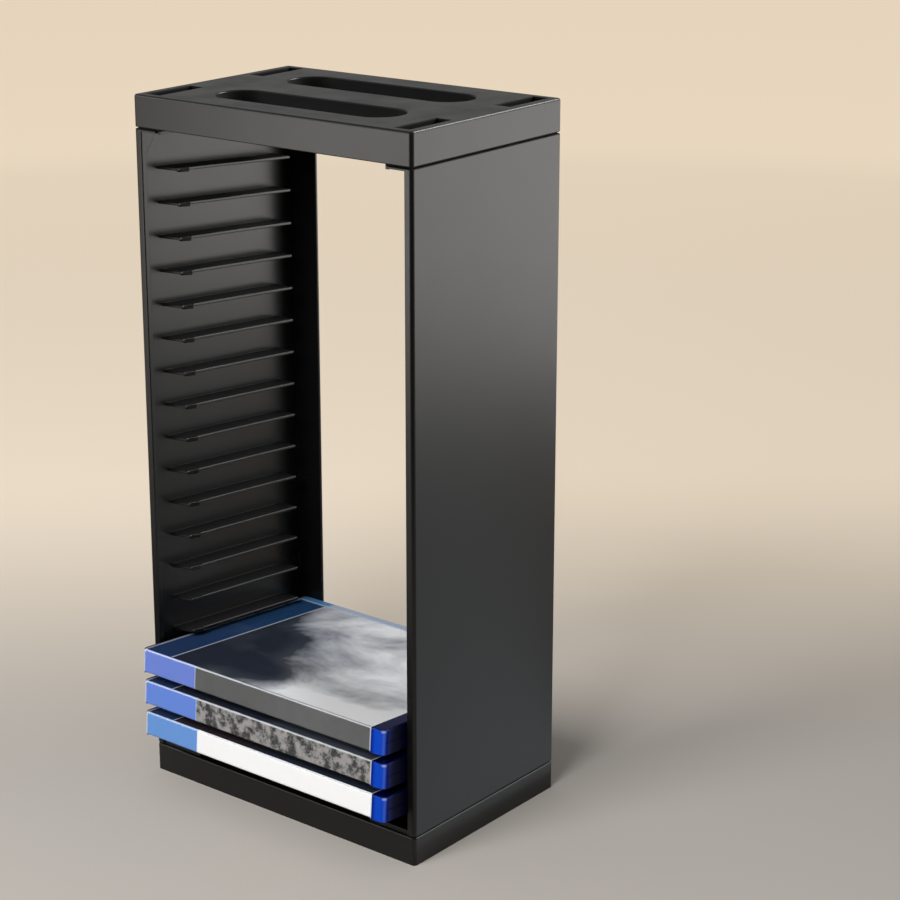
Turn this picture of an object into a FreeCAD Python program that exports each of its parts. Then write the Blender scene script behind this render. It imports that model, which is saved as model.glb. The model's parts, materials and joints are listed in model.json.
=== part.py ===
# Disc storage rack: a standing tower of slanted slots, with three disc cases in its lowest slots.
# Millimetres. +X is the rack's width, to the right from the front, +Y goes from the open front to the
# back and +Z is up. The origin is the middle of the rack's footprint, on the surface it stands on.
import FreeCAD, Part
import math
import os

from FreeCAD import Placement, Rotation, Vector

# A standard disc case, which the slots are made for
case_length = 171.5
case_depth = 135.0
case_thickness = 14.0

# Rack, overall
rack_depth = 120.0
rack_height = 380.0
cap_height = 17.0
base_height = 15.5
corner_radius = 2.0
case_side_gap = 3.75

# Slots: ribs that fall towards the back
rib_tilt_degrees = 4.5
rib_thickness = 1.6
rib_bearing = 7.65
rib_front_setback = 13.0
rib_lead_in = 3.1
rib_rear_setback = 16.1
rib_edge_round = 0.45
rib_nub_setback = 1.8
rib_nub_length = 7.0
rib_nub_reach = 1.1
rib_nub_drop = 0.7
slot_headroom = 2.54

# How a case lies in its slot
seat_clearance = 0.3
stop_clearance = 0.3
floor_clearance = 0.2
case_side_shift = 1.0

# Side panels
wall_thickness = 3.0
front_rim_width = 5.0
front_rim_depth = 3.0
rear_flange_width = 20.2
rear_flange_thickness = 1.8
rear_flange_round = 0.6
top_flange_thickness = 1.2
bottom_flange_thickness = 2.5
flange_land = 1.3
bottom_flange_extra = 14.1
top_seam = 0.9
bottom_seam = 0.8
seam_depth = 1.5
seam_edge_round = 0.5
lip_thickness = 1.8
lip_drop = 0.7
gusset_depth = 9.9
gusset_height = 13.0
gusset_edge_round = 0.9

# Cap and base
plate_thickness = 2.6
skirt_thickness = 2.4
cap_edge_round = 1.2
base_edge_round = 0.8
stiffener_thickness = 2.0
stiffener_spacing = 28.0
cap_stiffener_drop = 7.0

# Finger openings in the cap, with a bar between them to carry the rack by
handle_bar_width = 27.0
oval_side_margin = 18.5
oval_end_margin = 18.5
oval_taper = 2.8
oval_wall = 2.0
oval_collar_depth = 12.5
oval_edge_round = 1.2

# Corner slots of the cap and base, and the hollow posts of the side panels that plug into them
slot_width = 9.0
slot_length = 31.5
slot_side_margin = 5.5
slot_end_margin = 5.0
slot_edge_round = 0.8
socket_wall = 1.6
socket_foot_gap = 0.5
post_clearance = 0.25
post_height = 9.0
post_wall = 2.3
catch_length = 10.0
catch_height = 2.2
catch_depth = 0.8
catch_offset = 5.0
catch_clearance = 0.3

# Disc cases: covers, clear sleeve, printed insert and disc
cover_wall = 1.2
case_side_wall = 1.4
spine_wall = 1.6
spine_round = 1.8
case_corner_round = 3.5
case_rim_round = 0.8
parting_gap = 0.3
sleeve_thickness = 0.4
insert_thickness = 0.2
sleeve_left_margin = 1.8
sleeve_right_margin = 8.5
sleeve_rear_margin = 6.0
disc_rim_gap = 5.3
disc_hole_radius = 7.5
disc_thickness = 1.2
disc_shelf_radius = 17.0
disc_shelf_height = 2.2
hub_height = 1.8
hub_clearance = 0.25

# The ribs that the stored cases lie on, counted from the lowest
case_ribs = {"lower_case": 0, "middle_case": 1, "upper_case": 2}

# Cutting shapes run this far past what they cut
overrun = 5.0

# Two heights count as one level when they differ by less than this share of a plate
level_share = 0.01

# An edge runs along an axis when its extent there is this share of its length
along_share = 0.99

# Places that follow from the sizes
tilt = math.radians(rib_tilt_degrees)
half_width = case_length / 2 + case_side_gap + wall_thickness
half_depth = rack_depth / 2
cap_bottom = rack_height - cap_height
top_flange_top = cap_bottom - top_seam
top_flange_under = top_flange_top - top_flange_thickness
bottom_flange_top = base_height + bottom_flange_thickness
wall_inner = half_width - wall_thickness
stop_face = half_depth - rear_flange_thickness
slot_outer = half_width - slot_side_margin
slot_inner = slot_outer - slot_width
slot_far = half_depth - slot_end_margin
slot_near = slot_far - slot_length
top_flange_inner = slot_inner - socket_wall - flange_land
bottom_flange_inner = top_flange_inner - bottom_flange_extra
oval_length = 2 * (slot_inner - oval_end_margin)
oval_width = half_depth - oval_side_margin - handle_bar_width / 2
oval_centre_y = (handle_bar_width + oval_width) / 2
rib_edge = case_length / 2 - rib_bearing
rib_front = -half_depth + rib_front_setback
rib_rear = half_depth - rib_rear_setback
rib_pitch = (case_thickness + seat_clearance + slot_headroom + rib_thickness) / math.cos(tilt)
lowest_seat = bottom_flange_top + floor_clearance - seat_clearance / math.cos(tilt)
rib_rise = (stop_face - rib_front) * math.tan(tilt)
rib_count = 1 + int((top_flange_under - gusset_height - lowest_seat - rib_rise) / rib_pitch)
recess_depth = sleeve_thickness + insert_thickness
sleeve_left = -case_length / 2 + sleeve_left_margin
sleeve_length = case_length - sleeve_left_margin - sleeve_right_margin
spine_rear = recess_depth + spine_wall
case_floor = recess_depth + cover_wall
disc_seat = case_floor - cover_wall / 2 + disc_shelf_height
disc_radius = case_depth / 2 - spine_rear - disc_rim_gap
level_gap = level_share * plate_thickness


def block(x0, x1, y0, y1, z0, z1):
    """A box between two corners."""
    return Part.makeBox(x1 - x0, y1 - y0, z1 - z0, Vector(x0, y0, z0))


def prism(points, direction):
    """A straight-sided solid on an outline of points."""
    return Part.Face(Part.makePolygon(points + points[:1])).extrude(direction)


def rectangle(x0, x1, y0, y1, z):
    """The corners of a level rectangle."""
    return [Vector(x0, y0, z), Vector(x1, y0, z), Vector(x1, y1, z), Vector(x0, y1, z)]


def joined(shapes):
    """One solid from shapes that overlap or meet."""
    return shapes[0].multiFuse(shapes[1:]).removeSplitter().Solids[0]


def edges_along(shape, axis):
    """The straight edges that run along an axis, X, Y or Z."""
    found = []
    for edge in shape.Edges:
        span = edge.BoundBox
        lengths = {"X": span.XLength, "Y": span.YLength, "Z": span.ZLength}
        if lengths[axis] > along_share * edge.Length:
            found.append(edge)
    return found


def edges_at_height(shape, z):
    """The edges that lie in one level plane."""
    found = []
    for edge in shape.Edges:
        if abs(edge.BoundBox.ZMin - z) < level_gap and abs(edge.BoundBox.ZMax - z) < level_gap:
            found.append(edge)
    return found


def mirrored(shape):
    """The same shape on the rack's other side."""
    return shape.mirror(Vector(0, 0, 0), Vector(1, 0, 0))


def tray_body(z0, z1, edge_round):
    """The outer form of the cap and the base, with rounded corners and upper edges."""
    outer = block(-half_width, half_width, -half_depth, half_depth, z0, z1)
    outer = outer.makeFillet(corner_radius, edges_along(outer, "Z"))
    return outer.makeFillet(edge_round, edges_at_height(outer, z1))


def tray_shell(outer, z0, z1):
    """A plate with a skirt round it, open below, cut from its outer form."""
    hollow_x = half_width - skirt_thickness
    hollow_y = half_depth - skirt_thickness
    return outer.cut(block(-hollow_x, hollow_x, -hollow_y, hollow_y, z0 - overrun, z1 - plate_thickness))


def stiffeners(z0, z1):
    """Upright webs from front to back under a plate, evenly spaced from the middle."""
    reach = half_depth - skirt_thickness
    steps = int((slot_inner - socket_wall) / stiffener_spacing)
    webs = []
    for step in range(-steps, steps + 1):
        x = step * stiffener_spacing - stiffener_thickness / 2
        webs.append(block(x, x + stiffener_thickness, -reach, reach, z0, z1))
    return webs


def slot_corners():
    """The low corner, in X and Y, of each corner slot."""
    places = []
    for x in (slot_inner, -slot_outer):
        for y in (slot_near, -slot_far):
            places.append((x, y))
    return places


def sockets(z0, z1):
    """Four box-shaped sockets round the corner slots."""
    reach_x = slot_width + 2 * socket_wall
    reach_y = slot_length + 2 * socket_wall
    return [
        Part.makeBox(reach_x, reach_y, z1 - z0, Vector(x - socket_wall, y - socket_wall, z0))
        for x, y in slot_corners()
    ]


def slot_cuts(z0, z1):
    """Cutting shapes for the four corner slots."""
    return [Part.makeBox(slot_width, slot_length, z1 - z0, Vector(x, y, z0)) for x, y in slot_corners()]


def catch_windows(middle_z):
    """Windows in the sockets' inner walls, where the posts' catches snap in."""
    half_height = catch_height / 2 + catch_clearance
    half_length = catch_length / 2 + catch_clearance
    near_x = slot_inner - 3 * socket_wall / 2
    far_x = slot_inner + socket_wall / 2
    windows = []
    for middle_y in (slot_near + slot_length / 2, -slot_near - slot_length / 2):
        window = block(
            near_x,
            far_x,
            middle_y - half_length,
            middle_y + half_length,
            middle_z - half_height,
            middle_z + half_height,
        )
        windows += [window, mirrored(window)]
    return windows


def stadium(length, width, middle_y, z):
    """The outline of a long hole with round ends, level at a height."""
    radius = width / 2
    straight = length / 2 - radius
    near_left, near_right, far_right, far_left = rectangle(
        -straight, straight, middle_y - radius, middle_y + radius, z
    )
    return Part.Wire(
        [
            Part.LineSegment(near_left, near_right).toShape(),
            Part.Arc(near_right, Vector(straight + radius, middle_y, z), far_right).toShape(),
            Part.LineSegment(far_right, far_left).toShape(),
            Part.Arc(far_left, Vector(-straight - radius, middle_y, z), near_left).toShape(),
        ]
    )


def oval_solid(middle_y, grow, z0, z1):
    """A finger opening's tapered space, widened by grow on every side."""
    slope = oval_taper / oval_collar_depth
    outlines = []
    for z in (z1, z0):
        change = 2 * (grow - (rack_height - z) * slope)
        outlines.append(stadium(oval_length + change, oval_width + change, middle_y, z))
    return Part.makeLoft(outlines, True, True)


def rims_within(shape, reach, z):
    """The edges in one level plane that stay within a reach of the middle, to the left and right."""
    rims = []
    for edge in edges_at_height(shape, z):
        if edge.BoundBox.XMax < reach and edge.BoundBox.XMin > -reach:
            rims.append(edge)
    return rims


def top_cap():
    """The cap: a plate and skirt with two finger openings, four corner slots and stiffeners inside."""
    plate_under = rack_height - plate_thickness
    collar_foot = rack_height - oval_collar_depth
    middles = (-oval_centre_y, oval_centre_y)
    outer = tray_body(cap_bottom, rack_height, cap_edge_round)
    outer = outer.makeFillet(seam_edge_round, edges_at_height(outer, cap_bottom))
    parts = [tray_shell(outer, cap_bottom, rack_height)]
    parts += sockets(cap_bottom, plate_under)
    parts += [oval_solid(middle_y, oval_wall, collar_foot, plate_under) for middle_y in middles]
    parts += stiffeners(plate_under - cap_stiffener_drop, plate_under)
    cuts = slot_cuts(cap_bottom - overrun, rack_height + overrun)
    cuts += catch_windows(cap_bottom + catch_offset)
    cuts += [oval_solid(middle_y, 0, collar_foot - overrun, rack_height + overrun) for middle_y in middles]
    cap = joined(parts).cut(cuts)
    cap = cap.makeFillet(oval_edge_round, rims_within(cap, slot_inner - level_gap, rack_height))
    slot_rims = []
    for edge in rims_within(cap, slot_outer + level_gap, rack_height):
        if abs(edge.BoundBox.Center.x) > slot_inner - level_gap:
            slot_rims.append(edge)
    return cap.makeFillet(slot_edge_round, slot_rims).removeSplitter().Solids[0]


def base():
    """The base: a deck on a skirt, with sockets below the deck and stiffeners down to the floor."""
    deck_under = base_height - plate_thickness
    hollow_x = half_width - skirt_thickness
    half_web = stiffener_thickness / 2
    parts = [tray_shell(tray_body(0, base_height, base_edge_round), 0, base_height)]
    parts += sockets(socket_foot_gap, deck_under)
    parts += stiffeners(0, deck_under)
    parts.append(block(-hollow_x, hollow_x, -half_web, half_web, 0, deck_under))
    cuts = slot_cuts(-overrun, base_height + overrun) + catch_windows(base_height - catch_offset)
    return joined(parts).cut(cuts).removeSplitter().Solids[0]


def rib_blade():
    """One rib without its nub, level, with its top face at height 0 and its long edges rounded."""
    corner_y = rib_front + rib_lead_in
    root = wall_inner + wall_thickness / 2
    root_front = rib_front - rib_lead_in * (root - wall_inner) / (wall_inner - rib_edge)
    outline = [
        Vector(root, root_front, 0),
        Vector(rib_edge, corner_y, 0),
        Vector(rib_edge, rib_rear, 0),
        Vector(root, rib_rear, 0),
    ]
    blade = prism(outline, Vector(0, 0, -rib_thickness))
    rounded = []
    for edge in blade.Edges:
        level = edge.BoundBox.ZLength < rib_edge_round
        if level and edge.BoundBox.Center.x < wall_inner - rib_edge_round:
            rounded.append(edge)
    return blade.makeFillet(rib_edge_round, rounded)


def rib_nub():
    """The wedge near a rib's front corner, a little deeper than the rib."""
    near = rib_front + rib_lead_in + rib_nub_setback
    far = near + rib_nub_length
    inside = rib_edge + 2 * rib_nub_reach
    outline = [
        Vector(inside, far, 0),
        Vector(inside, near, 0),
        Vector(rib_edge, near, 0),
        Vector(rib_edge - rib_nub_reach, far - rib_nub_reach, 0),
        Vector(rib_edge, far, 0),
    ]
    return prism(outline, Vector(0, 0, -rib_thickness - rib_nub_drop))


def seat_height(index, y):
    """The height of a slot's bearing plane at a depth, with the slots counted from the lowest."""
    return lowest_seat + index * rib_pitch + (stop_face - y) * math.tan(tilt)


def ribs():
    """All the ribs of the right side panel."""
    rib = joined([rib_blade(), rib_nub()])
    rib.rotate(Vector(0, rib_rear, 0), Vector(1, 0, 0), -rib_tilt_degrees)
    placed = []
    for index in range(rib_count):
        copy = rib.copy()
        copy.translate(Vector(0, 0, seat_height(index, rib_rear)))
        placed.append(copy)
    return placed


def posts(z_foot, direction):
    """Two hollow posts with catches, standing up or hanging down from a side panel's end flange."""
    inner = slot_inner + post_clearance
    outer = slot_outer - post_clearance
    length = slot_length - 2 * post_clearance
    rise = Vector(0, 0, direction * post_height)
    catch_rise = direction * catch_height / 2
    catch_z = z_foot + direction * catch_offset
    shapes = []
    for near in (slot_near + post_clearance, -slot_far + post_clearance):
        far = near + length
        catch_y = near + (length - catch_length) / 2
        shaft = prism(rectangle(inner, outer, near, far, z_foot), rise)
        bore = prism(
            rectangle(inner + post_wall, outer - post_wall, near + post_wall, far - post_wall, z_foot), rise
        )
        catch = prism(
            [
                Vector(inner + post_wall / 2, catch_y, catch_z - catch_rise),
                Vector(inner - catch_depth, catch_y, catch_z - catch_rise),
                Vector(inner, catch_y, catch_z + catch_rise),
                Vector(inner + post_wall / 2, catch_y, catch_z + catch_rise),
            ],
            Vector(0, catch_length, 0),
        )
        shapes.append(shaft.cut(bore).fuse(catch))
    return shapes


def panel_wall():
    """The side panel's wall, with its front rim, its rear and top flanges and rounded outer corners."""
    low = base_height + bottom_seam
    high = top_flange_top
    rim_inner = half_width - front_rim_width
    rim_back = -half_depth + front_rim_depth
    flange_inner = half_width - rear_flange_width
    flush_inner = top_flange_inner + lip_thickness
    wall = joined(
        [
            block(wall_inner, half_width, -half_depth, half_depth, low, high),
            block(rim_inner, half_width, -half_depth, rim_back, low, high),
            block(flange_inner, half_width, stop_face, half_depth, low, high),
            block(flush_inner, half_width, -half_depth, half_depth, top_flange_under, high),
        ]
    )
    upright = edges_along(wall, "Z")
    outer = [edge for edge in upright if edge.BoundBox.XMax > half_width - rear_flange_round]
    wall = wall.makeFillet(corner_radius, outer)
    upright = edges_along(wall, "Z")
    inner = [edge for edge in upright if edge.BoundBox.XMax < flange_inner + rear_flange_round]
    rim = [
        edge
        for edge in upright
        if edge.BoundBox.YMax < -half_depth + rear_flange_round and edge.BoundBox.XMax < wall_inner
    ]
    wall = wall.makeFillet(rear_flange_round, inner + rim)
    seam = [
        edge
        for edge in edges_at_height(wall, high)
        if edge.BoundBox.XMax > half_width - level_gap or abs(edge.BoundBox.YMin) > half_depth - level_gap
    ]
    return wall.makeFillet(seam_edge_round, seam)


def end_flange(inner, z0, z1):
    """A flange across the end of a side panel, set in from the wall's outer faces to leave the seam."""
    reach = half_depth - seam_depth
    return block(inner, half_width - seam_depth, -reach, reach, z0, z1)


def gusset():
    """The web along the wall that joins the front rim to the top flange, with a rounded edge."""
    face = half_width - front_rim_width
    rim_back = -half_depth + front_rim_depth
    root = rim_back - front_rim_depth / 2
    top = top_flange_under + top_flange_thickness / 2
    slanted = (
        Vector(face, rim_back, top_flange_under - gusset_height),
        Vector(face, rim_back + gusset_depth, top_flange_under),
    )
    outline = [
        Vector(face, root, slanted[0].z),
        slanted[0],
        slanted[1],
        Vector(face, slanted[1].y, top),
        Vector(face, root, top),
    ]
    web = prism(outline, Vector(wall_inner + wall_thickness / 2 - face, 0, 0))
    edge = min(web.Edges, key=lambda line: (line.CenterOfMass - (slanted[0] + slanted[1]) / 2).Length)
    return web.makeFillet(gusset_edge_round, [edge])


def right_side_panel():
    """The right side panel: wall, rim, flanges, lip, gusset, posts and ribs, moulded in one piece."""
    reach = half_depth - seam_depth
    lip_inner = top_flange_inner
    lip_foot = top_flange_under - lip_drop
    parts = [
        panel_wall(),
        end_flange(top_flange_inner, top_flange_under, cap_bottom),
        end_flange(bottom_flange_inner, base_height, bottom_flange_top),
        block(lip_inner, lip_inner + lip_thickness, -reach, reach, lip_foot, top_flange_under),
        gusset(),
    ]
    return joined(parts + posts(cap_bottom, 1) + posts(base_height, -1) + ribs())


def slab(inset, length, depth, left):
    """A case-shaped slab inside the case's faces by inset, with its two spine edges rounded."""
    solid = Part.makeBox(length, depth - inset, case_thickness - 2 * inset, Vector(left, inset, inset))
    along = edges_along(solid, "X")
    spine = [edge for edge in along if edge.BoundBox.YMax < inset + spine_round / 2]
    return solid.makeFillet(spine_round - inset, spine)


def wrap(inset, thickness):
    """A sheet round a case's front, spine and back, between its end margins."""
    outer = slab(inset, sleeve_length, case_depth - sleeve_rear_margin, sleeve_left)
    return outer.cut(sleeve_core(inset + thickness)).Solids[0]


def sleeve_core(inset):
    """What a sheet is wrapped round, run on past the sheet's ends."""
    return slab(inset, sleeve_length + 2 * overrun, case_depth + overrun, sleeve_left - overrun)


def sleeve_recess():
    """What is cut away from a case for the insert and the sleeve, out past the case's faces."""
    around = block(
        sleeve_left,
        sleeve_left + sleeve_length,
        -overrun,
        case_depth - sleeve_rear_margin,
        -overrun,
        case_thickness + overrun,
    )
    return around.cut(sleeve_core(recess_depth))


def case_shell():
    """Both covers of a case as one hollow body, with the recess that the insert and sleeve lie in."""
    left = -case_length / 2
    solid = Part.makeBox(case_length, case_depth, case_thickness, Vector(left, 0, 0))
    solid = solid.makeFillet(case_corner_round, edges_along(solid, "Z"))
    level = [edge for edge in solid.Edges if edge.BoundBox.ZLength < case_rim_round]
    solid = solid.makeFillet(case_rim_round, level)
    hollow = Part.makeBox(
        case_length - 2 * case_side_wall,
        case_depth - spine_rear - case_side_wall,
        case_thickness - 2 * case_floor,
        Vector(left + case_side_wall, spine_rear, case_floor),
    )
    return solid.cut([hollow, sleeve_recess()])


def case_part(y0, z0, z1):
    """A box that takes in all of a case behind one depth and between two heights."""
    reach = case_length / 2 + overrun
    return block(-reach, reach, y0, case_depth + overrun, z0, z1)


def hub():
    """The shelf and the button that hold a disc."""
    foot = Vector(0, case_depth / 2, disc_seat - disc_shelf_height)
    shelf = Part.makeCylinder(disc_shelf_radius, disc_shelf_height, foot)
    button = Part.makeCylinder(disc_hole_radius - hub_clearance, disc_shelf_height + hub_height, foot)
    return shelf.fuse(button)


def case_back_cover():
    """The lower cover of a case, with the spine and the hub."""
    parting = (case_thickness - parting_gap) / 2
    lower = case_part(-overrun, -overrun, parting)
    upper = case_part(spine_rear, parting, case_thickness + overrun)
    spine = case_part(-overrun, parting, case_thickness + overrun).cut(upper)
    return case_shell().common(lower.fuse(spine)).fuse(hub()).removeSplitter().Solids[0]


def case_front_cover():
    """The upper cover of a case, which starts behind the spine."""
    parting = (case_thickness + parting_gap) / 2
    return case_shell().common(case_part(spine_rear, parting, case_thickness + overrun)).Solids[0]


def disc():
    """A disc on the case's hub."""
    foot = Vector(0, case_depth / 2, disc_seat)
    whole = Part.makeCylinder(disc_radius, disc_thickness, foot)
    return whole.cut(Part.makeCylinder(disc_hole_radius, disc_thickness, foot))


def case_placement(index):
    """Where a case lies in its slot: on the ribs, with its upper rear edge just short of the stop."""
    lean = case_depth * math.cos(tilt) + case_thickness * math.sin(tilt)
    front = stop_face - stop_clearance - lean
    seat = seat_height(index, front) + seat_clearance / math.cos(tilt)
    return Placement(Vector(case_side_shift, front, seat), Rotation(Vector(1, 0, 0), -rib_tilt_degrees))


def disc_case():
    """The pieces of one case, lying flat with the spine's lower front edge on the origin."""
    return {
        "back_cover": case_back_cover(),
        "front_cover": case_front_cover(),
        "printed_insert": wrap(sleeve_thickness, insert_thickness),
        "clear_sleeve": wrap(0, sleeve_thickness),
        "disc": disc(),
    }


def rack_nodes():
    """The rack's four moulded pieces."""
    panel = right_side_panel()
    return {
        "top_cap": top_cap(),
        "base": base(),
        "right_side_panel": panel,
        "left_side_panel": mirrored(panel),
    }


def case_nodes():
    """The pieces of each stored case, in its slot."""
    nodes = {}
    pieces = disc_case()
    for case_name, rib_index in case_ribs.items():
        for piece_name, piece in pieces.items():
            placed = piece.copy()
            placed.Placement = case_placement(rib_index)
            nodes[case_name + "_" + piece_name] = placed
    return nodes


def main():
    os.makedirs("parts", exist_ok=True)
    nodes = rack_nodes()
    nodes.update(case_nodes())
    for name, shape in nodes.items():
        shape.exportStep("parts/" + name + ".step")
        print(name, "solids", len(shape.Solids), "volume", round(shape.Volume, 1), "valid", shape.isValid())


main()
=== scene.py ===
import json
import math

import bmesh
import bpy
from bpy.props import FloatProperty, FloatVectorProperty, PointerProperty
from mathutils import Matrix, Vector


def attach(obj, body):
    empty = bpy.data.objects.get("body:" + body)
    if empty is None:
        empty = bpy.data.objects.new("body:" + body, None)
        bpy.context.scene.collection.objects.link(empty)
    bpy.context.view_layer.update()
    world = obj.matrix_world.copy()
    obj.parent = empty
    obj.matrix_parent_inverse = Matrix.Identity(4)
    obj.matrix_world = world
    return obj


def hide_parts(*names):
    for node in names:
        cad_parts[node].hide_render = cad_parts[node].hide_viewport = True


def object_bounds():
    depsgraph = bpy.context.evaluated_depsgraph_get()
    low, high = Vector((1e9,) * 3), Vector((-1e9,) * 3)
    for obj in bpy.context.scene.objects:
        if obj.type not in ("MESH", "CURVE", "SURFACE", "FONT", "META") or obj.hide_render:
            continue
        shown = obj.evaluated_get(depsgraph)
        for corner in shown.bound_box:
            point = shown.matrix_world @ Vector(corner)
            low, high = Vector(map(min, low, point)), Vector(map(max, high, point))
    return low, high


bl_info = {
    "name": "Disc storage rack looks",
    "version": (1, 0, 0),
    "blender": (4, 5, 0),
    "location": "3D View > Sidebar > Disc Rack",
    "description": "Dresses a ribbed disc storage rack and the disc cases stored in it",
    "category": "Object",
}

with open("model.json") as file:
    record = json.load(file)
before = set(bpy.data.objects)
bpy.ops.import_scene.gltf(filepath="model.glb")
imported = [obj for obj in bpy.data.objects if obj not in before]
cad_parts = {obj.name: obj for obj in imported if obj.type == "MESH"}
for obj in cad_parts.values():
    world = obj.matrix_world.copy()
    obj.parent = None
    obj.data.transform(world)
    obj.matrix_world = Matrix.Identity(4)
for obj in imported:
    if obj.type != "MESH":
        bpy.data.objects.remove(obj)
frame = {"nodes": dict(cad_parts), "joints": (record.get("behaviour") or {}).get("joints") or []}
cad_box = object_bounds()

MOULDINGS = ("top_cap", "base", "left_side_panel", "right_side_panel")
CASES = ("upper_case", "middle_case", "lower_case")

# Places on the rack, in metres: heights down from the cap's top or up from the floor, the rest out from the
# middle, to the right and left or to the front and back
CAP_SKIRT = 0.017
DUSTY_TOP = 0.002
OPENING_INNER, OPENING_OUTER, OPENING_END = 0.0125, 0.0435, 0.0635
SLOT_INNER, SLOT_OUTER, SLOT_END = 0.07, 0.0915, 0.0585
RIB_INNER, RIB_OUTER, RIB_END, LOWEST_RIB = 0.078, 0.0895, 0.058, 0.02

# Sizes on a case, in metres: its rounded edges, its flat ends beyond the sleeve, how deep the print on the
# spine reaches, the pale line beside its band, the painted highlight along the sleeve's fold, and the
# sleeve's borders, paler with painted highlight, at the left, the right and the rear
EDGE_ROUND = 0.001
MARGIN_WIDTH = 0.009
SPINE_DEPTH = 0.0017
LINE_WIDTH = 0.0007
FOLD_HIGHLIGHT_WIDTH = 0.0009
LEFT_BORDER, RIGHT_BORDER, REAR_BORDER = 0.0026, 0.0093, 0.0072

# Painted light and shade on a case's blue plastic, in metres: where the ends' painted shade begins and is
# full, how far in from the ends it fades, how far from the rear the painted lit strip begins and is full,
# and how far down that reaches
END_SHADE = (0.001, 0.009)
END_SKIN = (0.0006, 0.002)
STRIP_START, STRIP_FULL = 0.0098, 0.0085
TOP_SKIN = 0.002

# The painted light's lines at the round corners, a glow, a highlight and a glint, each by its place past
# the corner's middle, how far it stays full on both sides and where it has faded, and how far below the
# upper face the glint is
CORNER_GLOW = (-0.0028, 0.0025, 0.006)
CORNER_RIDGE = (0.0004, 0.0004, 0.0016)
CORNER_GLINT = (0.0, 0.0004, 0.0026)
GLINT_DROP = 0.0011

BLACK = (0.0, 0.0, 0.0)

# Inks of the printed inserts
NIGHT = (0.005, 0.010, 0.024)
SLATE = (0.030, 0.038, 0.055)
UMBER = (0.02, 0.008, 0.012)
CLOUD = (0.38, 0.40, 0.44)
LIGHT = (0.95, 0.96, 0.98)
SAND = (0.30, 0.27, 0.22)
STRIP_FRONT = (0.002, 0.022, 0.09)
STRIP_REAR = (0.002, 0.045, 0.14)
BAND_LINE = (0.62, 0.70, 0.80)


# Shader maths

class Sock:
    """An output socket that can be used in Python expressions, each of which adds its Math node."""

    def __init__(self, shader, socket):
        self.shader = shader
        self.socket = socket

    def maths(self, operation, *values):
        return self.shader.add("ShaderNodeMath", {"operation": operation}, dict(enumerate(values)))

    def __add__(self, other):
        return self.maths("ADD", self, other)

    def __radd__(self, other):
        return self.maths("ADD", other, self)

    def __sub__(self, other):
        return self.maths("SUBTRACT", self, other)

    def __rsub__(self, other):
        return self.maths("SUBTRACT", other, self)

    def __mul__(self, other):
        return self.maths("MULTIPLY", self, other)

    def __rmul__(self, other):
        return self.maths("MULTIPLY", other, self)

    def __truediv__(self, other):
        return self.maths("DIVIDE", self, other)

    def __rtruediv__(self, other):
        return self.maths("DIVIDE", other, self)

    def __pow__(self, other):
        return self.maths("POWER", self, other)

    def __rpow__(self, other):
        return self.maths("POWER", other, self)

    def __gt__(self, other):
        return self.maths("GREATER_THAN", self, other)

    def __lt__(self, other):
        return self.maths("LESS_THAN", self, other)

    def at_least(self, other):
        return self.maths("MAXIMUM", self, other)

    def size(self):
        return self.maths("ABSOLUTE", self)

    def ramp(self, low, high):
        """0 up to low, 1 from high on, and a smooth rise between them."""
        settings = {"interpolation_type": "SMOOTHSTEP", "clamp": True}
        values = {"Value": self, "From Min": low, "From Max": high}
        return self.shader.add("ShaderNodeMapRange", settings, values)

    def within(self, low, high):
        """1 between the two values and 0 elsewhere."""
        return (self > low) * (self < high)

    def near(self, value, full, none):
        """1 up to the first distance from a value, 0 past the second, and a smooth fall between them."""
        return 1 - (self - value).size().ramp(full, none)


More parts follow.
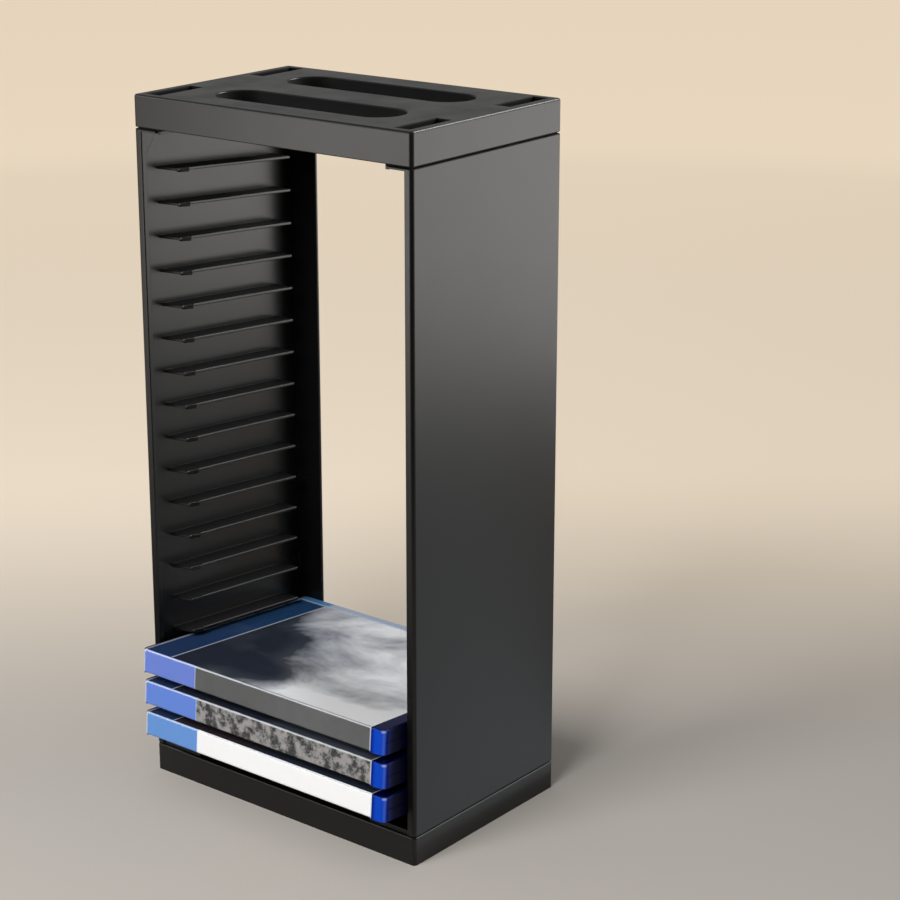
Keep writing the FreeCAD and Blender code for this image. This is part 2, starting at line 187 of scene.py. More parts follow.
class Shader:
    """A new node material with a Principled BSDF, filled by node and expression."""

    def __init__(self, name, finish, display):
        self.material = bpy.data.materials.new(name)
        self.material.use_nodes = True
        self.material.diffuse_color = (*display, 1.0)
        self.tree = self.material.node_tree
        self.principled = self.tree.nodes["Principled BSDF"]
        for socket_name, value in finish.items():
            self.principled.inputs[socket_name].default_value = value

    def add(self, kind, settings=None, values=None, output=0):
        """One node, with its settings made first, then its values and links. Returns one output."""
        node = self.tree.nodes.new(kind)
        for key, value in (settings or {}).items():
            if key == "stops":
                self.set_stops(node.color_ramp, value)
            else:
                setattr(node, key, value)
        for key, value in (values or {}).items():
            self.feed(node.inputs[key], value)
        return Sock(self, node.outputs[output])

    def feed(self, socket, value):
        if isinstance(value, Sock):
            self.tree.links.new(value.socket, socket)
        else:
            socket.default_value = value

    def set_stops(self, color_ramp, stops):
        while len(color_ramp.elements) < len(stops):
            color_ramp.elements.new(0.5)
        for element, (place, color) in zip(color_ramp.elements, stops):
            element.position = place
            element.color = (*color, 1.0)

    def blend(self, factor, first, second):
        """One colour or vector turning into another as the factor goes from 0 to 1."""
        values = {0: factor, 6: self.rgba(first), 7: self.rgba(second)}
        return self.add("ShaderNodeMix", {"data_type": "RGBA"}, values, output=2)

    def rgba(self, color):
        return color if isinstance(color, Sock) else (*tuple(color)[:3], 1.0)

    def place(self, location=(0, 0, 0), rotation=(0, 0, 0), scale=(1, 1, 1), kind="POINT"):
        """The object's own coordinates, turned and scaled by a Mapping node."""
        coordinates = self.add("ShaderNodeTexCoord", output=3)
        settings = {"vector_type": kind}
        values = {"Vector": coordinates, "Location": location, "Rotation": rotation, "Scale": scale}
        return self.add("ShaderNodeMapping", settings, values)

    def noise(self, vector, scale, detail=2.0, roughness=0.5, distortion=0.0):
        values = {"Vector": vector, "Scale": scale, "Detail": detail, "Roughness": roughness}
        values["Distortion"] = distortion
        return self.add("ShaderNodeTexNoise", None, values)

    def parts(self, vector):
        """A vector's three numbers."""
        node = self.add("ShaderNodeSeparateXYZ", None, {0: vector}).socket.node
        return [Sock(self, socket) for socket in node.outputs]

    def bump(self, height, distance, strength=1.0, normal=None):
        values = {"Height": height, "Distance": distance, "Strength": strength}
        if normal is not None:
            values["Normal"] = normal
        return self.add("ShaderNodeBump", None, values)

    def wear(self, **sockets):
        """Feeds the Principled BSDF's sockets, named with underscores for spaces."""
        for name, value in sockets.items():
            self.feed(self.principled.inputs[name.replace("_", " ").title()], value)
        return self.material


# Meshes

# Vertices nearer than this, in metres, are one
SAME_PLACE = 2e-6


def make_piece(name, work):
    """A finished bmesh as a new object in the scene."""
    mesh = bpy.data.meshes.new(name)
    work.to_mesh(mesh)
    work.free()
    piece = bpy.data.objects.new(name, mesh)
    bpy.context.scene.collection.objects.link(piece)
    return piece


def smooth_copy(node, name, crease_degrees, slack=0.0):
    """A CAD node's mesh as a new object, merged, with smooth curves, sharp corners and all faces
    drawn in by the slack."""
    work = bmesh.new()
    work.from_mesh(frame["nodes"][node].data)
    bmesh.ops.remove_doubles(work, verts=work.verts, dist=SAME_PLACE)
    bmesh.ops.dissolve_degenerate(work, dist=SAME_PLACE, edges=work.edges)
    work.normal_update()
    for vertex in work.verts:
        vertex.co -= slack * vertex.normal
    for face in work.faces:
        face.smooth = True
    crease = math.radians(crease_degrees)
    for edge in work.edges:
        edge.smooth = len(edge.link_faces) == 2 and edge.calc_face_angle(math.pi) < crease
    piece = make_piece(name, work)
    weighted = piece.modifiers.new("flat faces", "WEIGHTED_NORMAL")
    weighted.mode = "FACE_AREA"
    weighted.keep_sharp = True
    return piece


def dress(piece, material):
    piece.data.materials.clear()
    piece.data.materials.append(material)


def stand_for(piece, node, body):
    """The piece rides on its body and stands for its CAD node, which it hides."""
    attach(piece, body)
    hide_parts(node)


class CaseFrame:
    """Where a stored case lies: its lower, left front corner, its axes and its size."""

    def __init__(self, case):
        slide = next(joint for joint in frame["joints"] if joint["child"] == case)
        outward = Vector(slide["axis"]).normalized()
        self.along = -outward
        self.across = Vector((1, 0, 0))
        self.up = self.across.cross(self.along)
        places = [
            vertex.co
            for node in (case + "_back_cover", case + "_front_cover")
            for vertex in frame["nodes"][node].data.vertices
        ]
        spans = []
        for axis in (self.across, self.along, self.up):
            reach = [axis.dot(place) for place in places]
            spans.append((min(reach), max(reach)))
        self.length, self.depth, self.thickness = [high - low for low, high in spans]
        self.corner = self.across * spans[0][0] + self.along * spans[1][0] + self.up * spans[2][0]
        self.turn = Matrix((self.across, self.along, self.up)).transposed().to_euler()


# Settings

class RackFinishSettings(bpy.types.PropertyGroup):
    plastic_color: FloatVectorProperty(
        name="Plastic colour", description="Colour of the black mouldings", subtype="COLOR",
        default=(0.004, 0.004, 0.0044), min=0.0, max=1.0,
    )
    plastic_roughness: FloatProperty(
        name="Plastic roughness", description="Roughness of the mouldings' plain faces", default=0.29,
        min=0.0, max=1.0,
    )
    edge_softness: FloatProperty(
        name="Edge softness", description="Radius that light finds on the mouldings' corners",
        default=0.0004, min=0.0, unit="LENGTH",
    )
    # the groove's darkness is painted shade, laid into the mouldings' colour at this height and width
    groove_height: FloatProperty(
        name="Groove height", description="Height of the dark groove between the side panels and the cap",
        default=cad_box[1].z - 0.01745, min=0.0, unit="LENGTH",
    )
    groove_width: FloatProperty(
        name="Groove width", description="Width of the groove with its rounded edges", default=0.0017,
        min=0.0, unit="LENGTH",
    )
    grain_size: FloatProperty(
        name="Grain size", description="Width of one grain of the moulded texture", default=0.0005,
        min=0.0001, unit="LENGTH",
    )
    crease: FloatProperty(
        name="Crease", description="Corners sharper than this stay sharp, in degrees", default=32.0,
        min=0.0,
    )


class CaseFinishSettings(bpy.types.PropertyGroup):
    shell_color: FloatVectorProperty(
        name="Shell colour", description="Colour of the clear blue case plastic", subtype="COLOR",
        default=(0.0, 0.010, 0.20), min=0.0, max=1.0,
    )
    # the four glow colours below are painted light in the case plastic: its corners' glow, highlight line
    # and glint, and its lit rear strip
    edge_glow: FloatVectorProperty(
        name="Edge glow", description="Colour of the light that gathers in the case plastic's edges",
        subtype="COLOR", default=(0.006, 0.065, 0.56), min=0.0, max=1.0,
    )
    ridge_glow: FloatVectorProperty(
        name="Ridge glow", description="Colour of the brightest line on the case plastic's front corners",
        subtype="COLOR", default=(0.06, 0.14, 0.70), min=0.0, max=1.0,
    )
    rear_glow: FloatVectorProperty(
        name="Rear glow", description="Colour of the light that comes through the case plastic's rear edge",
        subtype="COLOR", default=(0.10, 0.33, 0.66), min=0.0, max=1.0,
    )
    rear_glow_pale: FloatVectorProperty(
        name="Pale rear glow", description="Colour of the case plastic where the room shines through it",
        subtype="COLOR", default=(0.55, 0.64, 0.80), min=0.0, max=1.0,
    )
    band_upper: FloatVectorProperty(
        name="Upper band", description="Colour of the band on the upper case's spine", subtype="COLOR",
        default=(0.135, 0.21, 0.62), min=0.0, max=1.0,
    )
    band_middle: FloatVectorProperty(
        name="Middle band", description="Colour of the band on the middle case's spine", subtype="COLOR",
        default=(0.115, 0.225, 0.66), min=0.0, max=1.0,
    )
    band_lower: FloatVectorProperty(
        name="Lower band", description="Colour of the band on the lower case's spine", subtype="COLOR",
        default=(0.125, 0.29, 0.66), min=0.0, max=1.0,
    )
    band_width: FloatProperty(
        name="Band width", description="Width of the band on the spine", default=0.040,
        min=0.0, unit="LENGTH",
    )
    strip_width: FloatProperty(
        name="Strip width", description="Width of the band on the cover", default=0.0208,
        min=0.0, unit="LENGTH",
    )
    spine_upper: FloatVectorProperty(
        name="Upper spine", description="Colour of the upper case's spine", subtype="COLOR",
        default=(0.098, 0.099, 0.098), min=0.0, max=1.0,
    )
    spine_middle: FloatVectorProperty(
        name="Middle spine", description="Colour of the middle case's spine", subtype="COLOR",
        default=(0.30, 0.29, 0.285), min=0.0, max=1.0,
    )
    spine_lower: FloatVectorProperty(
        name="Lower spine", description="Colour of the lower case's spine", subtype="COLOR",
        default=(0.92, 0.92, 0.92), min=0.0, max=1.0,
    )


class StageSettings(bpy.types.PropertyGroup):
    azimuth: FloatProperty(
        name="Azimuth", description="How far the camera stands to the right of the front, in degrees",
        default=40.915,
    )
    elevation: FloatProperty(
        name="Elevation", description="How far the camera looks down, in degrees", default=16.735,
    )
    roll: FloatProperty(name="Roll", description="Camera roll, in degrees", default=-0.778)
    distance: FloatProperty(
        name="Distance", description="From the camera to the rack's middle", default=1.2596, unit="LENGTH",
    )
    aside: FloatVectorProperty(
        name="Aside", description="How far the camera is moved in its own plane",
        default=(0.0049, -0.02556), size=2, unit="LENGTH",
    )
    lens: FloatProperty(name="Lens", description="Focal length in millimetres", default=94.69)
    shift: FloatVectorProperty(
        name="Shift", description="Lens shift, as a share of the frame",
        default=(0.1222, -0.0522), size=2,
    )
    floor_reach: FloatProperty(
        name="Floor reach", description="From the rack to the floor's edges", default=15.0,
        min=1.0, unit="LENGTH",
    )
    floor_rise: FloatProperty(
        name="Floor rise", description="Height of the backdrop at the floor's edges", default=1.5,
        min=0.0, unit="LENGTH",
    )
    floor_color: FloatVectorProperty(
        name="Floor colour", description="Colour of the pale floor", subtype="COLOR",
        default=(0.56, 0.52, 0.475), min=0.0, max=1.0,
    )
    distance_color: FloatVectorProperty(
        name="Distance colour", description="What the far floor adds to its own colour, as a backdrop",
        subtype="COLOR", default=(0.61, 0.495, 0.35), min=0.0, max=1.0,
    )
    room_color: FloatVectorProperty(
        name="Room colour", description="Colour of the room above the floor", subtype="COLOR",
        default=(0.486, 0.488, 0.488), min=0.0, max=1.0,
    )
    room_level: FloatProperty(
        name="Room level", description="Strength of the room's light", default=0.62, min=0.0,
    )
    side_level: FloatProperty(
        name="Side light", description="Brightness of the soft box behind the right side", default=3.1,
        min=0.0,
    )
    side_card_glow: FloatProperty(
        name="Side card", description="Brightness of the pale card that the lower right side mirrors",
        default=0.8, min=0.0,
    )
    front_level: FloatProperty(
        name="Front light", description="Brightness of the soft box to the left of the front", default=4.2,
        min=0.0,
    )
    key_level: FloatProperty(
        name="Key light", description="Brightness of the soft box above and before the front", default=9.4,
        min=0.0,
    )
    edge_level: FloatProperty(
        name="Edge light", description="Brightness of the soft box that the upper right edges catch",
        default=12.0, min=0.0,
    )
    strip_level: FloatProperty(
        name="Strip light", description="Brightness of the narrow box that the sleeves' folds catch",
        default=4.0, min=0.0,
    )


# Materials

def shade_of(color, share, lift=0.0):
    """A colour made darker or paler by a share, and lifted evenly."""
    return tuple(share * value + lift for value in color)


def moulded_black(settings):
    """Black moulded plastic: a fine grain, slow changes of sheen and a little dust on top of the cap. The
    groove under the cap, the walls of its openings and corner slots, and the tops of the ribs are painted
    darker as shade where it falls, and made duller."""
    finish = {"Specular IOR Level": 0.35, "Coat Weight": 0.0}
    shader = Shader("moulded_black_plastic", finish, settings.plastic_color)
    here = shader.place()
    flow = shader.noise(here, 9.0, detail=3.0)
    cloud = shader.noise(here, 45.0, detail=4.0)
    grain = shader.noise(here, 1.0 / settings.grain_size, detail=1.0)
    scratches = shader.noise(shader.place(scale=(900.0, 25.0, 900.0)), 1.0)
    facing = shader.parts(shader.add("ShaderNodeNewGeometry", output=1))[2]
    x, y, z = shader.parts(here)
    aside, ahead, top = x.size(), y.size(), cad_box[1].z

    dust = facing.ramp(0.5, 0.95) * cloud.ramp(0.35, 0.75) * (z > top - DUSTY_TOP)
    dusty = shade_of(settings.plastic_color, 0.6, 0.012)
    color = shader.blend(dust * 0.2 + flow * 0.15, settings.plastic_color, dusty)
    roughness = settings.plastic_roughness + (flow - 0.5) * 0.06 + (cloud - 0.5) * 0.05 + dust * 0.08

    # painted shade: the groove under the cap and the walls of the cap's openings and corner slots are
    # painted black, and the ribs' tops darker, where shade falls; all of them are made duller too
    in_cap = z > top - CAP_SKIRT
    in_openings = in_cap * ahead.within(OPENING_INNER, OPENING_OUTER) * (aside < OPENING_END)
    in_slots = in_cap * aside.within(SLOT_INNER, SLOT_OUTER) * (ahead < SLOT_END)
    on_ribs = z.within(LOWEST_RIB, top - CAP_SKIRT) * aside.within(RIB_INNER, RIB_OUTER) * (ahead < RIB_END)
    groove = (z - settings.groove_height).size() < settings.groove_width / 2
    painted_hollow_shade = groove.at_least(in_openings * (facing < 0.5)).at_least(in_slots * (facing < 0.9))
    painted_rib_shade = on_ribs * (facing > 0.7)
    color = shader.blend(painted_hollow_shade.at_least(painted_rib_shade * 0.6), color, BLACK)
    roughness = roughness + painted_hollow_shade.at_least(painted_rib_shade * 0.7) * 0.5

    soft = shader.add("ShaderNodeBevel", {"samples": 4}, {"Radius": settings.edge_softness})
    normal = shader.bump(grain + scratches * 0.35, 0.000012, 0.5, soft)
    return shader.wear(base_color=color, roughness=roughness, normal=normal)


def clear_blue(case_name, case, settings):
    """A case's clear blue plastic, with painted light gathered round its front corners and along its rear
    edge, and painted shade that darkens its ends inwards."""
    finish = {"Specular IOR Level": 0.05, "Transmission Weight": 0.12, "IOR": 1.49, "Coat Weight": 0.0}
    shader = Shader(case_name + "_blue_plastic", finish, settings.shell_color)
    place, (across, inward, up) = local_places(shader, case)
    flow = shader.noise(shader.place(scale=(8.0, 60.0, 60.0)), 1.0)
    cloud = shader.noise(place, 70.0)
    deep = settings.shell_color
    color = shader.blend(flow.ramp(0.35, 0.8) * 0.6, deep, shade_of(deep, 1.3, 0.004))

    # how far in from the nearer end a place is, and how far past the round corner's middle, seen from the
    # spine
    from_end = case.length / 2 - (across - case.length / 2).size()
    past_corner = inward - from_end
    upright = up.ramp(0.0, EDGE_ROUND) * (case.thickness - up).ramp(0.0, EDGE_ROUND)

    # painted shade: the end faces darken inwards, and so do the flat margins beyond the sleeve
    shade = past_corner.ramp(*END_SHADE) * (1 - from_end.ramp(*END_SKIN))
    margin = (1 - upright) * (1 - from_end.ramp(MARGIN_WIDTH, MARGIN_WIDTH + 0.0005))
    color = shader.blend(shade.at_least(margin * 0.85), color, shade_of(deep, 0.1))

    # painted light: a painted glow inside the corner, a painted highlight in a line down its middle and a
    # painted glint in a spot at that line's upper end
    glow = past_corner.near(*CORNER_GLOW) * upright
    color = shader.blend(glow, color, settings.edge_glow)
    ridge = past_corner.near(*CORNER_RIDGE) * upright
    color = shader.blend(ridge * 0.7, color, settings.ridge_glow)
    glint = up.near(case.thickness - GLINT_DROP, 0.0003, 0.0009) * past_corner.near(*CORNER_GLINT)
    color = shader.blend(glint * 0.55, color, settings.rear_glow_pale)

    # painted light: the strip behind the sleeve is painted as lit, blue behind the band and pale beyond it
    in_strip = inward.ramp(case.depth - STRIP_START, case.depth - STRIP_FULL)
    beyond_band = across.ramp(settings.strip_width, settings.strip_width + 0.004)
    painted_rear_light = shader.blend(beyond_band, settings.rear_glow, settings.rear_glow_pale)
    color = shader.blend(in_strip * (up > case.thickness - TOP_SKIN) * 0.85, color, painted_rear_light)
    normal = shader.bump(flow + cloud * 0.3, 0.00004, 0.35)
    roughness = 0.1 + cloud * 0.08 + shade * 0.5
    return shader.wear(base_color=color, roughness=roughness, normal=normal)


def disc_silver():
    """A silvered disc with fine rings."""
    shader = Shader("silvered_disc", {"Metallic": 1.0}, (0.7, 0.72, 0.75))
    rings = shader.noise(shader.place(scale=(400.0, 400.0, 1.0)), 1.0)
    color = shader.blend(rings, (0.62, 0.64, 0.68), (0.75, 0.77, 0.8))
    return shader.wear(base_color=color, roughness=0.18 + rings * 0.1)


def local_places(shader, case):
    """Places on a case: across from its left end, in from its spine and up from its lower face."""
    place = shader.place(location=case.corner, rotation=case.turn, kind="TEXTURE")
    return place, shader.parts(place)


def printed_paper(case_name, case, settings):
    """A case's printed insert: a blue band at its left end, a plain spine and a cloudy cover."""
    shader = Shader(case_name + "_print", {"Coat Weight": 0.0, "Specular IOR Level": 0.0}, (0.4, 0.45, 0.5))
    place, (across, inward, up) = local_places(shader, case)
    # the middle and lower covers are printed in dark inks only, as painted shade for the shadowed gaps
    # between the stacked cases
    band_color, spine_color, mottle, sand, sky = {
        "upper_case": (settings.band_upper, settings.spine_upper, 0.1, 0.3, (NIGHT, SLATE, CLOUD, LIGHT)),
        "middle_case": (settings.band_middle, settings.spine_middle, 1.0, 0.0, (NIGHT,) * 3 + (SLATE,)),
        "lower_case": (settings.band_lower, settings.spine_lower, 0.0, 0.0, (UMBER, UMBER, NIGHT, NIGHT)),
    }[case_name]

    # the cover: clouds, lighter along the spine and towards the rear right, and sand at the front right
    slow = shader.noise(place, 18.0, detail=6.0, roughness=0.55, distortion=0.5)
    shore = (1 - inward.ramp(0.004, 0.028)) * across.ramp(0.025, 0.05)
    toward = across + inward * 0.87
    haze = (slow - 0.5) * 1.7 + toward.ramp(0.085, 0.135) * 0.8 + shore * 0.4 + 0.05
    stops = list(zip((0.12, 0.42, 0.68, 1.0), sky))
    cover = shader.add("ShaderNodeValToRGB", {"stops": stops}, {0: haze})
    near_right = (1 - inward.ramp(0.02, 0.07)) * toward.ramp(0.09, 0.14)
    cover = shader.blend(near_right * sand, cover, SAND)

    # the spine, plain or mottled
    fine = shader.noise(place, 170.0, detail=5.0, roughness=0.7)
    patches = fine.ramp(0.4, 0.6) * mottle
    spine = shader.blend(patches, spine_color, shade_of(spine_color, 0.13))
    on_spine = inward < SPINE_DEPTH
    face = shader.blend(on_spine, cover, spine)

    # the band at the left end, wider on the spine, with a pale line beside it
    band_end = on_spine * (settings.band_width - settings.strip_width) + settings.strip_width
    strip = shader.blend((inward / case.depth).ramp(0.0, 1.0), STRIP_FRONT, STRIP_REAR)
    band = shader.blend(on_spine, strip, band_color)
    face = shader.blend(across < band_end, face, band)
    line = ((across - band_end).size() < LINE_WIDTH / 2) * (1 - on_spine * 0.5)
    face = shader.blend(line * 0.8, face, BAND_LINE)
    tooth = shader.noise(place, 2500.0, detail=1.0)
    normal = shader.bump(tooth, 0.00001, 0.3)
    return shader.wear(base_color=face, roughness=0.42 + tooth * 0.08, normal=normal)


def sleeve_film(case_name, case):
    """A case's clear sleeve: nearly unseen, but for its edges at the ends and the rear and its fold over
    the spine, made paler as painted highlight, and for the light that it catches."""
    tint = (0.9, 0.94, 1.0)
    finish = {"Base Color": (*tint, 1.0), "Specular IOR Level": 1.0, "Coat Weight": 0.0}
    shader = Shader(case_name + "_film", finish, tint)
    across, inward, up = local_places(shader, case)[1]
    ripple = shader.noise(shader.place(scale=(14.0, 40.0, 40.0)), 1.0)
    # painted highlight: the film is made paler along its fold over the spine and at its real edges at the
    # ends and the rear
    fold_highlight = (up > case.thickness - FOLD_HIGHLIGHT_WIDTH) * (inward < FOLD_HIGHLIGHT_WIDTH)
    ends = (across < LEFT_BORDER).at_least(across > case.length - RIGHT_BORDER) * 0.35
    rear_end = (inward > case.depth - REAR_BORDER) * 0.3
    alpha = 0.012 + ends.at_least(rear_end).at_least(fold_highlight * 0.4) + ripple.ramp(0.5, 0.8) * 0.015
    normal = shader.bump(ripple, 0.0002, 0.25)
    return shader.wear(alpha=alpha, roughness=0.05 + ripple * 0.06, normal=normal)


def plain_floor(settings):
    """A dull, pale floor. Far from the rack it also glows a little, as an even backdrop in every view."""
    finish = {"Specular IOR Level": 0.0, "Emission Strength": 1.0}
    shader = Shader("pale_floor", finish, settings.floor_color)
    slow = shader.noise(shader.place(), 1.5)
    color = shader.blend(slow * 0.3, settings.floor_color, shade_of(settings.floor_color, 0.96))

    # the glow rises in two steps behind the rack, seen from the camera, and in one step all round
    turn = (0.0, 0.0, -math.radians(settings.azimuth))
    aside, behind, _ = shader.parts(shader.place(rotation=turn))
    away = (aside * aside + behind * behind) ** 0.5
    far = (behind.ramp(0.0, 0.55) * 0.78 + behind.ramp(0.7, 2.6) * 0.22).at_least(away.ramp(0.8, 2.0))
    camera, glossy, through = (
        shader.add("ShaderNodeLightPath", output=name)
        for name in ("Is Camera Ray", "Is Glossy Ray", "Is Transmission Ray")
    )
    seen = camera.at_least(glossy).at_least(through)
    glow = shader.blend(far * seen, BLACK, settings.distance_color)
    return shader.wear(base_color=color, roughness=0.6 + slow * 0.1, emission_color=glow)


# Stage

# The corners of the cards that the rack mirrors: a black one upright before its near corner, a pale one on
# the floor behind its right side and a black one on the floor before its front
CARD_LIFT = 0.0004
CORNER_CARD = ((0.702, -0.127, 0.0), (0.018, -0.713, 0.0), (0.018, -0.713, 0.36), (0.702, -0.127, 0.36))
SIDE_CARD = tuple((x, y, CARD_LIFT) for x, y in ((0.105, -0.07), (0.63, 0.54), (0.63, 0.71), (0.105, 0.10)))
FRONT_CARD = tuple(
    (x, y, CARD_LIFT) for x, y in ((-0.45, -0.30), (0.12, -0.30), (0.12, -0.105), (-0.45, -0.105))
)

# The soft boxes, each with its name, place, target, width and height: the one that lights dull faces, and
# those that glossy faces mirror, with their settings
KEY_BOX = ("key_box", (0.05, -1.25, 1.15), (0.0, 0.0, 0.15), 1.0, 0.8)
MIRRORED_BOXES = (
    ("side_box", (0.56, 0.645, 0.25), (0.0, 0.0, 0.25), 0.7, 0.46, "side_level"),
    ("front_box", (-0.505, -0.80, 0.20), (0.0, 0.0, 0.20), 0.36, 0.38, "front_level"),
    ("edge_box", (0.47, 0.94, 1.19), (0.09, 0.0, 0.38), 0.8, 0.5, "edge_level"),
    ("strip_box", (-0.47, -0.375, 0.55), (0.0, -0.08, 0.05), 0.4, 0.2, "strip_level"),
)

# The camera's sensor, in millimetres, and the nearest thing that it sees, in metres
SENSOR_WIDTH = 36.0
NEAREST_SEEN = 0.01


def soft_box(name, place, target, width, height, level, mirrored=True, lighting=True):
    """A soft box: a lamp of one brightness all over, unseen by the camera. It is mirrored in glossy
    faces, lights dull ones, or does both."""
    lamp = bpy.data.lights.new(name, "AREA")
    lamp.shape = "RECTANGLE"
    lamp.size = width
    lamp.size_y = height
    lamp.energy = level * math.pi * width * height
    holder = bpy.data.objects.new(name, lamp)
    holder.location = place
    holder.rotation_euler = (Vector(target) - Vector(place)).to_track_quat("-Z", "Y").to_euler()
    holder.visible_camera = False
    holder.visible_glossy = mirrored
    holder.visible_diffuse = lighting
    bpy.context.scene.collection.objects.link(holder)


def mirrored_card(name, corners, glow):
    """A flat card of one brightness that only glossy faces see. The rack takes its dark corner lines and
    the sheen of its lower right side from such cards."""
    work = bmesh.new()
    work.faces.new([work.verts.new(corner) for corner in corners])
    card = make_piece(name, work)
    finish = {"Base Color": (*BLACK, 1), "Specular IOR Level": 0.0, "Emission Color": (0.92, 0.97, 1, 1)}
    dress(card, Shader(name, {**finish, "Emission Strength": glow}, (glow, glow, glow)).material)
    card.visible_camera = card.visible_diffuse = card.visible_shadow = card.visible_transmission = False


def aim_camera(settings):
    """The camera at the photograph's viewing angle."""
    middle = Vector((0.0, 0.0, cad_box[1].z / 2))
    around, above = math.radians(settings.azimuth), math.radians(settings.elevation)
    level = Vector((math.sin(around), -math.cos(around), 0.0))
    back = level * math.cos(above) + Vector((0.0, 0.0, math.sin(above)))
    right = (-back).cross(Vector((0, 0, 1))).normalized()
    up = right.cross(-back)
    axes = Matrix((right, up, back))
    roll = math.radians(settings.roll)
    turn = Matrix(
        ((math.cos(roll), math.sin(roll), 0.0), (-math.sin(roll), math.cos(roll), 0.0), (0.0, 0.0, 1.0))
    ) @ axes
    aside = Vector((-settings.aside[0], -settings.aside[1], settings.distance))
    place = middle + turn.transposed() @ aside
    lens = bpy.data.cameras.new("camera")
    lens.lens = settings.lens
    lens.sensor_width = SENSOR_WIDTH
    lens.shift_x, lens.shift_y = settings.shift
    lens.clip_start = NEAREST_SEEN
    camera = bpy.data.objects.new("camera", lens)
    camera.matrix_world = Matrix.Translation(place) @ turn.transposed().to_4x4()
    bpy.context.scene.collection.objects.link(camera)
    bpy.context.scene.camera = camera


def light_room(settings):
    """An even, pale room."""
    world = bpy.data.worlds.new("room")
    world.use_nodes = True
    background = world.node_tree.nodes["Background"]
    background.inputs["Color"].default_value = (*settings.room_color, 1.0)
    background.inputs["Strength"].default_value = settings.room_level
    bpy.context.scene.world = world


# Operators

class DISCRACK_OT_stage(bpy.types.Operator):
    """Make the floor, the light and the camera"""
    bl_idname = "discrack.stage"
    bl_label = "Stage"

    def execute(self, context):
        settings = context.scene.discrack_stage
        work = bmesh.new()
        bmesh.ops.create_grid(work, x_segments=1, y_segments=1, size=settings.floor_reach)
        rim = bmesh.ops.extrude_edge_only(work, edges=work.edges[:])["geom"]
        rim_corners = [part for part in rim if isinstance(part, bmesh.types.BMVert)]
        bmesh.ops.translate(work, verts=rim_corners, vec=(0.0, 0.0, settings.floor_rise))
        bmesh.ops.recalc_face_normals(work, faces=work.faces)
        bmesh.ops.reverse_faces(work, faces=work.faces)
        floor = make_piece("floor", work)
        dress(floor, plain_floor(settings))
        light_room(settings)
        soft_box(*KEY_BOX, settings.key_level, mirrored=False)
        for *box, setting in MIRRORED_BOXES:
            soft_box(*box, getattr(settings, setting), lighting=False)
        mirrored_card("corner_card", CORNER_CARD, 0.0)
        mirrored_card("front_card", FRONT_CARD, 0.0)
        mirrored_card("side_card", SIDE_CARD, settings.side_card_glow)
        aim_camera(settings)
        context.scene.view_settings.view_transform = "Standard"
        return {"FINISHED"}


class DISCRACK_OT_mouldings(bpy.types.Operator):
    """Dress the cap, the base and the side panels"""
    bl_idname = "discrack.mouldings"
    bl_label = "Mouldings"

    def execute(self, context):
        settings = context.scene.discrack_rack
        plastic = moulded_black(settings)
        for node in MOULDINGS:
            piece = smooth_copy(node, node + "_moulding", settings.crease)
            dress(piece, plastic)
            stand_for(piece, node, "rack")
        return {"FINISHED"}


class DISCRACK_OT_case_shells(bpy.types.Operator):
    """Dress the covers of the stored cases"""
    bl_idname = "discrack.case_shells"
    bl_label = "Case shells"

    def execute(self, context):
        crease = context.scene.discrack_rack.crease
        for case in CASES:
            plastic = clear_blue(case, CaseFrame(case), context.scene.discrack_case)
            for part in ("back_cover", "front_cover"):
                node = case + "_" + part
                piece = smooth_copy(node, node + "_shell", crease)
                dress(piece, plastic)
                stand_for(piece, node, case)
        return {"FINISHED"}


class DISCRACK_OT_case_prints(bpy.types.Operator):
    """Dress the printed inserts of the stored cases"""
    bl_idname = "discrack.case_prints"
    bl_label = "Case prints"

    def execute(self, context):
        settings = context.scene.discrack_case
        crease = context.scene.discrack_rack.crease
        for case in CASES:
            node = case + "_printed_insert"
            piece = smooth_copy(node, case + "_paper", crease, 0.00005)
            dress(piece, printed_paper(case, CaseFrame(case), settings))
            stand_for(piece, node, case)
        return {"FINISHED"}


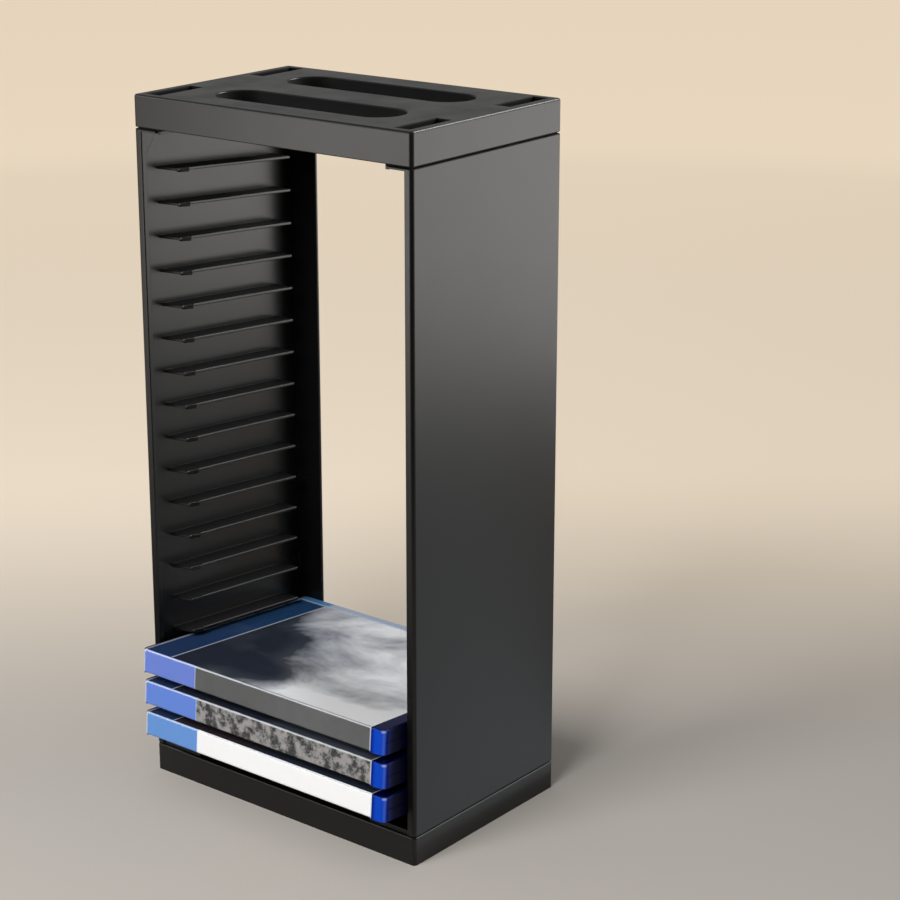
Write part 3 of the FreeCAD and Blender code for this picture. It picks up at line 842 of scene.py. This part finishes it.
class DISCRACK_OT_case_sleeves(bpy.types.Operator):
    """Dress the clear sleeves of the stored cases"""
    bl_idname = "discrack.case_sleeves"
    bl_label = "Case sleeves"

    def execute(self, context):
        crease = context.scene.discrack_rack.crease
        for case in CASES:
            node = case + "_clear_sleeve"
            piece = smooth_copy(node, case + "_film", crease, 0.00002)
            dress(piece, sleeve_film(case, CaseFrame(case)))
            stand_for(piece, node, case)
        return {"FINISHED"}


class DISCRACK_OT_discs(bpy.types.Operator):
    """Dress the discs inside the stored cases"""
    bl_idname = "discrack.discs"
    bl_label = "Discs"

    def execute(self, context):
        silver = disc_silver()
        for case in CASES:
            node = case + "_disc"
            piece = smooth_copy(node, case + "_silver", context.scene.discrack_rack.crease)
            dress(piece, silver)
            stand_for(piece, node, case)
        return {"FINISHED"}


OPERATORS = (
    DISCRACK_OT_stage,
    DISCRACK_OT_mouldings,
    DISCRACK_OT_case_shells,
    DISCRACK_OT_case_prints,
    DISCRACK_OT_case_sleeves,
    DISCRACK_OT_discs,
)


class DISCRACK_PT_panel(bpy.types.Panel):
    """The rack's settings and the steps that dress it"""
    bl_idname = "DISCRACK_PT_panel"
    bl_label = "Disc Rack"
    bl_space_type = "VIEW_3D"
    bl_region_type = "UI"
    bl_category = "Disc Rack"

    def draw(self, context):
        scene = context.scene
        for group in (scene.discrack_rack, scene.discrack_case, scene.discrack_stage):
            box = self.layout.box()
            for name in group.__annotations__:
                box.prop(group, name)
        for operator in OPERATORS:
            self.layout.operator(operator.bl_idname)


CLASSES = (RackFinishSettings, CaseFinishSettings, StageSettings, *OPERATORS, DISCRACK_PT_panel)


def register():
    for cls in CLASSES:
        bpy.utils.register_class(cls)
    bpy.types.Scene.discrack_rack = PointerProperty(type=RackFinishSettings)
    bpy.types.Scene.discrack_case = PointerProperty(type=CaseFinishSettings)
    bpy.types.Scene.discrack_stage = PointerProperty(type=StageSettings)


def unregister():
    del bpy.types.Scene.discrack_stage
    del bpy.types.Scene.discrack_case
    del bpy.types.Scene.discrack_rack
    for cls in reversed(CLASSES):
        bpy.utils.unregister_class(cls)


def main():
    register()
    bpy.ops.discrack.stage()
    bpy.ops.discrack.mouldings()
    bpy.ops.discrack.case_shells()
    bpy.ops.discrack.case_prints()
    bpy.ops.discrack.case_sleeves()
    bpy.ops.discrack.discs()


if __name__ == "__main__":
    main()
